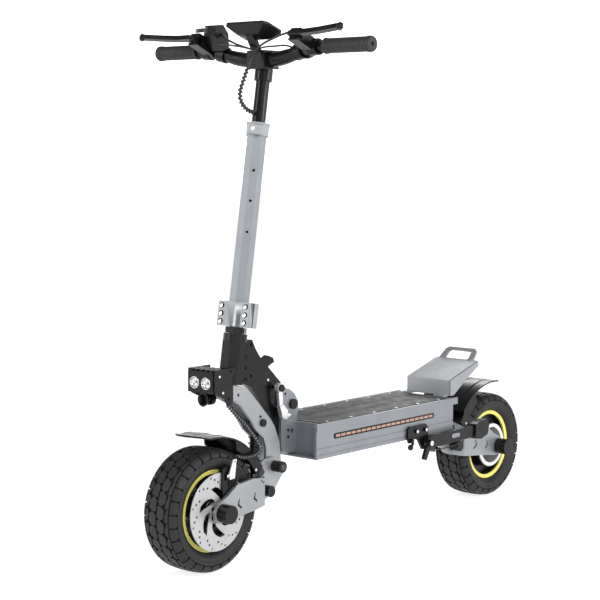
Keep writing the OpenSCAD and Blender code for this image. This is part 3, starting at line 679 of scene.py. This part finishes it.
def make_rotor(end, side):
    low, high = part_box(end + "_rotor")
    y0, y1 = low.y / MM, high.y / MM
    radius = high.x / MM - WHEEL_X[end] / MM
    disc = spun(ring_profile(13, radius, -(y1 - y0) / 2, (y1 - y0) / 2, 0.3), 128)
    cut_out(disc, rotor_cutters())
    disc.data.transform(across(WHEEL_X[end] / MM, (y0 + y1) / 2, AXLE_Z / MM, side))
    done(disc, end + "_brake_disc", end + "_wheel", disc_steel, 30)
    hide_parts(end + "_rotor")
    seats = []
    out = side * (abs(y0 + y1) / 2 + 1) * MM
    for k in range(DISC_BOLTS):
        angle = math.radians(60 * k + 30)
        seat = Vector((WHEEL_X[end] + DISC_BOLT_R * MM * math.cos(angle), out,
                       AXLE_Z + DISC_BOLT_R * MM * math.sin(angle)))
        seats.append((seat, (0, side, 0)))
    bolts(end + "_disc_bolts", end + "_wheel", black_coat, seats, 3.4, 2.0)


HUB_FACE = 41  # distance of a hub's side face from the middle of the wheel, in mm
HUB_R = {"front": 30, "rear": 52}


def make_hub_faces(end):
    """Hub covers: a ring, bright round the rear motor, about a dark stepped disc, on each side."""
    face, outer = HUB_FACE, HUB_R[end]
    for side, word in ((LEFT, "left"), (RIGHT, "right")):
        ring = spun(ring_profile(outer - 8.5, outer + 1.5, face - 5, face + 1.5, 1.2), 96)
        ring.data.transform(across(WHEEL_X[end] / MM, 0, AXLE_Z / MM, side))
        metal = bright_steel if end == "rear" else black_alloy
        done(ring, f"{end}_hub_ring_{word}", end + "_wheel", metal, 40)
        disc = spun([
            (11.2, face - 3), (outer - 8, face - 3), (outer - 8, face + 0.2), (outer - 12, face + 0.8),
            (24, face + 1.6), (22, face + 3.4), (11.2, face + 3.6)], 72)
        disc.data.transform(across(WHEEL_X[end] / MM, 0, AXLE_Z / MM, side))
        done(disc, f"{end}_hub_cover_{word}", end + "_wheel", hub_grain, 40)


for end, rotor_side in (("front", LEFT), ("rear", RIGHT)):
    make_tyre(end)
    make_rim(end)
    make_rotor(end, rotor_side)
    make_hub_faces(end)


# ---------- deck ----------


def make_mat():
    """Rubber mat with slanting wavy ridges, and the screws along its edges."""
    low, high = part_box("deck_mat")
    fresh()
    bpy.ops.mesh.primitive_grid_add(x_subdivisions=226, y_subdivisions=60, size=1)
    grip = bpy.context.object
    points = []
    for vertex in grip.data.vertices:
        x = low.x + (vertex.co.x + 0.5) * (high.x - low.x)
        y = low.y + (vertex.co.y + 0.5) * (high.y - low.y)
        edge = min(x - low.x, high.x - x, y - low.y, high.y - y) / 0.012
        phase = 2 * math.pi * (x + 0.8 * y + 0.004 * math.sin(y / 0.008)) / 0.0105
        points.append((x, y, high.z - 0.0009 * (0.5 - 0.5 * math.sin(phase)) * min(1, max(0, edge - 0.4))))
    shape(grip, points)
    thicken(grip, -0.0025)
    for vertex in grip.data.vertices:
        if vertex.co.z < high.z - 0.0015:
            vertex.co.z = low.z
    done(grip, "deck_grip_mat", "chassis", mat_rubber, 50)
    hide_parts("deck_mat")
    seats = []
    for i in range(6):
        x = low.x + (0.06 + 0.176 * i) * (high.x - low.x)
        for side in (LEFT, RIGHT):
            seats.append((Vector((x, side * (high.y - 0.005), high.z - 0.0006)), (0, 0, 1)))
    bolts("deck_screws", "chassis", bright_steel, seats, 3.4, 1.0)


def rounded(x0, x1, z0, z1, corner, steps=5):
    """Outline of a rectangle with round corners, in mm."""
    points = []
    for cx, cz, start in ((x1 - corner, z1 - corner, 0), (x0 + corner, z1 - corner, 90),
                          (x0 + corner, z0 + corner, 180), (x1 - corner, z0 + corner, 270)):
        for i in range(steps + 1):
            angle = math.radians(start + 90 * i / steps)
            points.append((cx + corner * math.cos(angle), cz + corner * math.sin(angle)))
    return points


LENSES = 20  # in the row on each side of the deck


def make_side_lights():
    """A black strip with round ends and a row of small lenses on it, on both sides of the deck."""
    low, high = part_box("side_lights")
    x0, x1, z0, z1 = low.x / MM, high.x / MM, low.z / MM, high.z / MM
    deck_side = high.y / MM
    pitch = (x1 - x0 - 8) / LENSES
    lenses = []
    for side, word in ((LEFT, "left"), (RIGHT, "right")):
        strip = slab(rounded(x0 - 1.5, x1 + 1.5, z0 - 0.6, z1 + 0.6, 5.5), 1.6)
        strip.data.transform(upright(deck_side + 0.5))
        round_edges(strip, 0.4 * MM, 2, 40)
        if side == RIGHT:
            strip.data.transform(Matrix.Scale(-1, 4, (0, 1, 0)))
            strip.data.flip_normals()
        done(strip, "light_strip_" + word, "chassis", black_plastic, 40)
        for i in range(LENSES):
            x = x0 + 4 + pitch * (i + 0.5)
            place = (x * MM, side * (deck_side + 0.3) * MM, (z0 + z1) / 2 * MM)
            lens = box(place, ((pitch - 3.4) * MM, 1.6 * MM, 5.4 * MM))
            round_edges(lens, 0.5 * MM, 2)
            lenses.append(lens)
    row = join(lenses)
    done(row, "side_light_lenses", "chassis", amber_lens, 40)
    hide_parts("side_lights")


RAIL_RIBS = 5
RIB_PITCH = 0.0021
RAIL_SIDE = 0.0862  # outer face of the deck's rails


def make_deck_ribs():
    """Fine lengthwise ribs along the deck's upper rails, and a round boss at both ends of each rail."""
    low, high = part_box("deck_tub")
    lengthwise = (0, math.pi / 2, 0)
    ribs = []
    for side in (LEFT, RIGHT):
        for i in range(RAIL_RIBS):
            z = high.z - 0.0062 - RIB_PITCH * i
            rib = drum(0.0007, high.x - low.x - 0.004, 8, turn=lengthwise)
            rib.data.transform(Matrix.Translation(((low.x + high.x) / 2, side * RAIL_SIDE, z)))
            ribs.append(rib)
        for x in (low.x, high.x):
            boss = drum(0.0042, 0.003, 24, turn=lengthwise)
            round_edges(boss, 0.0006)
            boss.data.transform(Matrix.Translation((x, side * 0.0808, high.z - 0.0052)))
            ribs.append(boss)
    done(join(ribs), "deck_rail_ribs", "chassis", anodised, 40)


def make_battery():
    """Shrink-wrapped cell pack and its controller box, under the lid."""
    refined("battery_pack", 3.0, battery_wrap, 4)
    refined("controller", 0.8, black_alloy)


make_mat()
make_side_lights()
make_deck_ribs()
make_battery()


# ---------- handlebar, grips and cockpit ----------

# Middle of the bar's straight ends in x and z, then its left half from the middle, all in mm
BAR_X, BAR_Z = 314, 1063
BAR_LINE = [(306, 0, 1041), (306, 32, 1041), (308, 70, 1046), (311, 110, 1056), (313, 145, 1062),
            (BAR_X, 170, BAR_Z), (BAR_X, 290, BAR_Z)]
BAR_RADIUS = [15.9, 15.9, 15.0, 12.5, 11.1, 11.1, 11.1]
CURVE_RADIUS = 16  # the curve's own radius, which each point's radius scales


def make_handlebar():
    line = [at(x, -y, z) for x, y, z in reversed(BAR_LINE[1:])] + [at(*p) for p in BAR_LINE]
    radii = [r / CURVE_RADIUS for r in BAR_RADIUS[:0:-1] + BAR_RADIUS]
    bar = tube("handlebar_tube", line, CURVE_RADIUS * MM, 40, radii=radii)
    done(bar, "handlebar_tube", "cockpit", black_alloy, 40)
    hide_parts("handlebar")


def make_grips():
    """Ribbed rubber sleeves with an inner flange and a stepped outer end."""
    ribs = [(11.4, 176), (15.2, 176), (16.3, 177), (16.3, 181), (15.0, 182), (14.3, 184)]
    for i in range(12):
        y = 186 + 8 * i
        ribs += [(14.3, y), (15.2, y + 0.6), (15.4, y + 2.4), (15.2, y + 4.4), (14.3, y + 5)]
    ribs += [(14.3, 283), (15.6, 283.6), (16.3, 285), (16.3, 287), (15.4, 288), (15.4, 289.4), (16.3, 290.4),
             (16.3, 292.6), (14.8, 295), (4, 295), (4, 291), (11.4, 291)]
    pieces = []
    for side in (LEFT, RIGHT):
        grip = spun(ribs, 64)
        grip.data.transform(across(BAR_X, 0, BAR_Z, side))
        pieces.append(grip)
    grips = join(pieces)
    done(grips, "rubber_grips", "cockpit", grip_rubber, 40)
    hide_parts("grips")


def wound(name, path, radius, wire, pitch, core_finish):
    """A cable in a spiral sleeve, made as a core and a wire wound round it."""
    line = smooth_points(path, 14)
    core = tube(name + "_core", line, radius - wire * 1.7, 12, smooth_path=False)
    done(core, name + "_core", None, core_finish, 60)
    along, spiral = 0.0, []
    side = None
    for a, b in zip(line, line[1:]):
        direction = (b - a).normalized()
        side = side - direction * side.dot(direction) if side else direction.orthogonal()
        side.normalize()
        other = direction.cross(side)
        steps = max(1, round((b - a).length / pitch * 10))
        for s in range(steps):
            place = a.lerp(b, s / steps)
            angle = 2 * math.pi * (along + (b - a).length * s / steps) / pitch
            spiral.append(place + (side * math.cos(angle) + other * math.sin(angle)) * (radius - wire))
        along += (b - a).length
    sleeve = tube(name + "_sleeve", spiral, wire, 8, smooth_path=False)
    done(sleeve, name + "_sleeve", None, cable_black, 60)
    for piece in (core, sleeve):
        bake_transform(piece)
    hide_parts(name)


LOOM_ROUTE = [(338, 10, 1060), (350, 9, 1042), (360, 6, 1020), (368, 3, 998), (375, 0, 975), (374, 0, 955),
              (362, 0, 942), (348, 0, 935), (336, 0, 932.5)]
BRAKE_ROUTE = [(445, 27, 339), (424, 31, 317), (402, 35, 295), (384, 40, 273), (373, 46, 255), (371, 51, 241),
               (384, 54, 232), (404, 54, 229), (426, 54, 230), (444, 53, 236)]


def make_cables():
    wound("stem_loom",
          [at(*p) for p in LOOM_ROUTE], 5.6 * MM, 1.8 * MM, 8.5 * MM, hub_grain)
    wound("front_brake_cable",
          [at(*p) for p in BRAKE_ROUTE], 5.4 * MM, 1.5 * MM, 7.0 * MM, anodised)
    routes = {
        "brake_cable_left": [(338, 133, 1083), (330, 112, 1094), (334, 84, 1090), (343, 52, 1078),
                             (342, 26, 1068), (339, 13, 1060)],
        "brake_cable_right": [(338, -133, 1083), (332, -112, 1110), (338, -84, 1092), (345, -52, 1078),
                              (343, -24, 1068), (340, 4, 1060)],
        "switch_cable": [(298, 96, 1052), (316, 80, 1066), (332, 52, 1066), (337, 26, 1064), (337, 9, 1059)],
        "throttle_cable": [(344, -92, 1076), (350, -70, 1074), (350, -44, 1070), (344, -20, 1066),
                           (339, 6, 1059)],
    }
    for name, route in routes.items():
        cable = tube(name, [at(*p) for p in route], (2.4 if "brake" in name else 1.9) * MM, 12)
        done(cable, name, "cockpit", cable_black, 60)


make_handlebar()
make_grips()
refined("height_tube", 0.35, black_alloy)
make_cables()


# ---------- shock springs ----------


COIL_TURNS = 8
COIL_R = 11.6  # from the shock's axis to the middle of the wire, in mm


def make_spring(end):
    """Coil spring between its two seats."""
    sign = FRONT if end == "front" else REAR
    top = at(sign * 331, 0, 286)
    axis = at(sign * 341, 0, 146) - top
    down = axis.normalized()
    start, finish = 23.5 * MM, axis.length - 13.6 * MM
    side = down.orthogonal().normalized()
    other = down.cross(side)
    steps = COIL_TURNS * 28
    points = []
    for i in range(steps + 1):
        angle = 2 * math.pi * COIL_TURNS * i / steps
        points.append(top + down * (start + (finish - start) * i / steps)
                      + (side * math.cos(angle) + other * math.sin(angle)) * COIL_R * MM)
    coil = tube(end + "_coil", points, 1.5 * MM, 12, smooth_path=False)
    done(coil, end + "_coil", None, black_coat, 60)
    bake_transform(coil)
    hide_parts(end + "_shock_spring")


for end in ("front", "rear"):
    make_spring(end)


# ---------- headlight ----------


def make_lamps():
    """Two projector lenses, each with a bright bowl, a dark emitter and a clear front."""
    low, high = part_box("headlight_lenses")
    centre_z = (low.z + high.z) / 2 / MM
    bowls, glasses, spots = [], [], []
    for y in (16, -16):
        place = facing(at(486.2, y, centre_z), (1, 0, 0))
        bowl = spun([(0, 0.2), (12.6, 0.2), (12.6, 9.6), (12.2, 10.2), (11.2, 10.2), (10.8, 9.2), (8.6, 5),
                     (5, 2.4), (0, 1.6)], 48)
        bowl.data.transform(place)
        bowls.append(bowl)
        spot = spun([(0, 1.2), (3.4, 1.2), (3.4, 3.4), (2.2, 4.6), (0, 5)], 32)
        spot.data.transform(place)
        spots.append(spot)
        glass = spun([(0, 7.6), (10.2, 7.6), (10.6, 8.4), (7, 9.7), (0, 10.4)], 40)
        glass.data.transform(place)
        glasses.append(glass)
    bowl = done(join(bowls), "headlight_bowls", "steering", chrome, 40)
    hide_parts("headlight_lenses")
    done(join(spots), "headlight_emitters", "steering", hub_grain, 40)
    done(join(glasses), "headlight_glass", "steering", lens_glass, 40)


make_lamps()


# ---------- bolts and small parts ----------


def seats_of(points, side=None):
    """Bolt seats on both sides, or on one side only, from (x, y, z) in mm with y to the left."""
    sides = (side,) if side else (LEFT, RIGHT)
    return [(at(x, s * y, z), (0, s, 0)) for x, y, z in points for s in sides]


def make_frame_bolts():
    bolts("neck_bolts", "column", black_coat,
          seats_of([(366, 9, 452), (366, 9, 427), (366, 9, 404), (366, 9, 381)]), 4.2, 2.2)
    bolts("neck_screws", "column", bright_steel, seats_of([(300, 9, 372), (262, 9, 330)]),
          2.8, 1.6)
    bolts("bracket_screws", "chassis", black_coat,
          seats_of([(245, 18, 259), (245, 18, 244)]), 3.0, 1.6)
    bolts("crown_screws", "steering", black_coat, seats_of([(396, 22, 355), (338, 22, 300)]),
          2.8, 1.4)
    bolts("lamp_screws", "steering", bright_steel,
          seats_of([(478, 37, 400), (468, 37, 366)]), 2.6, 1.6)
    bolts("lamp_clamp_bolts", "steering", black_coat,
          seats_of([(448, 37, 352), (442, 37, 408)]), 3.2, 2.0)
    for end, sign in (("front", FRONT), ("rear", REAR)):
        bolts(end + "_arm_screws", end + "_arm", black_coat,
              seats_of([(sign * 366, 56, 180), (sign * 374, 57.4, 174), (sign * 366, 56, 170)]), 2.2, 0.8)
    bolts("kickstand_bolts", "chassis", bright_steel,
          seats_of([(-114, 96, 217), (-148, 96, 217)], LEFT), 3.8, 1.8)
    bolts("kickstand_pivot_bolt", "chassis", bright_steel,
          seats_of([(-149, 111, 187)], LEFT), 6.0, 1.8)


def make_clamp_bolts():
    """Bright bolts of the stem clamp, three each side."""
    seats = []
    forward = (on_stem(1, 0, 0) - on_stem(0, 0, 0)).normalized()
    for i in range(3):
        for side in (LEFT, RIGHT):
            seats.append((on_stem(15.2, side * 33, 506 + 16.5 * i), forward))
    bolts("clamp_bolts", "steering", chrome, seats, 4.4, 2.4)


def make_brake_details(end):
    """Caliper fins and bolts."""
    sign, side = (FRONT, LEFT) if end == "front" else (REAR, RIGHT)
    low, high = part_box(end + "_caliper")
    middle = (low + high) / 2
    face = max(abs(low.y), abs(high.y))
    fins = []
    for i in range(4):
        place = (middle.x + sign * (-0.010 + 0.0058 * i), side * (face - 0.0006), middle.z - 0.004)
        fin = box(place, (0.0022, 0.0024, 0.020))
        round_edges(fin, 0.0005, 2)
        fins.append(fin)
    done(join(fins), end + "_caliper_fins", end + "_arm", black_alloy, 40)
    seats = [(Vector((middle.x + sign * x * MM, side * face, middle.z + z * MM)), (0, side, 0))
             for x, z in ((16, 10), (-16, -12))]
    bolts(end + "_caliper_bolts", end + "_arm", bright_steel, seats, 3.0, 1.6)


def make_spokes():
    """Bright standoffs between the rim and the disc, and the tyre valve, on the front wheel."""
    pieces = []
    for k in range(6):
        angle = math.radians(60 * k + 12)
        post = spun(ring_profile(2.2, 5.0, 0, 17, 0.8), 24)
        post.data.transform(across(WHEEL_X["front"] / MM + 58 * math.cos(angle), 29,
                                   AXLE_Z / MM + 58 * math.sin(angle), LEFT))
        pieces.append(post)
    done(join(pieces), "front_standoffs", "front_wheel", bright_steel, 40)
    valve = spun([(0, 0), (3.2, 0), (3.2, 8), (2.4, 9), (2.4, 15), (0, 15.6)], 20)
    valve.data.transform(Matrix.Translation((WHEEL_X["front"], 0.036, AXLE_Z - 0.078)))
    done(valve, "front_valve", "front_wheel", yellow_plastic, 40)


def make_stand_details():
    """Wire under the kickstand's leg, its oval plate and the thumb screw of its bracket."""
    points = [at(-130, 100, 181), at(-180, 101, 168), at(-240, 101, 166), at(-290, 101, 172)]
    wire = tube("stand_wire", points, 1.3 * MM, 10)
    done(wire, "stand_wire", "kickstand", cable_black, 60)
    plate = slab(rounded(-268, -236, 186, 196, 4.8), 1.4)
    plate.data.transform(upright(106.2))
    round_edges(plate, 0.4 * MM, 2, 40)
    done(plate, "stand_plate", "kickstand", anodised, 40)
    screw = spun([(0, 0), (3.2, 0), (3.2, 14), (6.2, 15), (6.2, 20), (5.2, 21), (0, 21)], 24)
    screw.data.transform(facing(at(-98, 96, 192), (0.75, 0.2, -0.35)))
    done(screw, "stand_thumb_screw", "chassis", black_coat, 40)


def make_knob_sockets():
    """Ends of the dark pivot caps, with their hex sockets."""
    for body, sign in (("steering", FRONT), ("chassis", REAR)):
        seats = seats_of([(sign * 305, 57, 192)])
        bolts(body + "_pivot_ends", body, hub_grain, seats, 6.4, 0.9)


make_frame_bolts()
make_clamp_bolts()
for end in ("front", "rear"):
    make_brake_details(end)
make_spokes()
make_stand_details()
make_knob_sockets()


# ---------- mudguard trim, lever tips and the collar bolt ----------


def make_fender_trim():
    """Two raised ribs along each mudguard and a screw at each side of its foot."""
    for end, start, stop, radius in (("front", 96, 146, 152.4), ("rear", 44, 92, 160.4)):
        sign = FRONT if end == "front" else REAR
        centre = Vector((WHEEL_X[end], 0, AXLE_Z))
        points = []
        for i in range(15):
            angle = math.radians(start + (stop - start) * i / 14)
            points.append(centre + Vector((math.cos(angle), 0, math.sin(angle))) * radius * MM)
        for y in (-20, 20):
            line = [p + Vector((0, y * MM, 0)) for p in points]
            radii = [0.3 + 0.7 * math.sin(math.pi * (i + 0.4) / 14.8) for i in range(15)]
            rib = tube(f"{end}_fender_rib", line, 1.7 * MM, 12, radii=radii)
            word = "left" if y > 0 else "right"
            done(rib, f"{end}_fender_rib_{word}", end + "_arm", black_plastic, 50)
        seats = [(at(sign * 378, s * 45.8, 196), (0, s, 0)) for s in (LEFT, RIGHT)]
        bolts(end + "_fender_screws", end + "_arm", bright_steel, seats, 3.0, 1.2)


def make_lever_tips():
    """Small balls at the ends of both brake levers."""
    for side, body in ((LEFT, "brake_lever_left"), (RIGHT, "brake_lever_right")):
        low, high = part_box(body)
        outer = high.y if side == LEFT else low.y
        mesh = frame["nodes"][body].data
        world = frame["nodes"][body].matrix_world
        tip = [world @ v.co for v in mesh.vertices if abs((world @ v.co).y - outer) < 0.006]
        middle = sum(tip, Vector()) / len(tip)
        fresh()
        bpy.ops.mesh.primitive_uv_sphere_add(segments=24, ring_count=14, radius=0.0072)
        ball = bpy.context.object
        ball.data.transform(Matrix.Translation(middle - Vector((0, side * 0.003, 0))))
        done(ball, body + "_tip", body, black_alloy, 60)


def make_collar_bolt():
    """Clamp bolt of the height collar."""
    outward = (on_stem(1, 1, 0) - on_stem(0, 0, 0)).normalized()
    seat = on_stem(31, 13, 906)
    bolts("collar_bolt", "steering", bright_steel, [(seat, outward)], 4.4, 2.0)


make_fender_trim()
make_lever_tips()
make_collar_bolt()
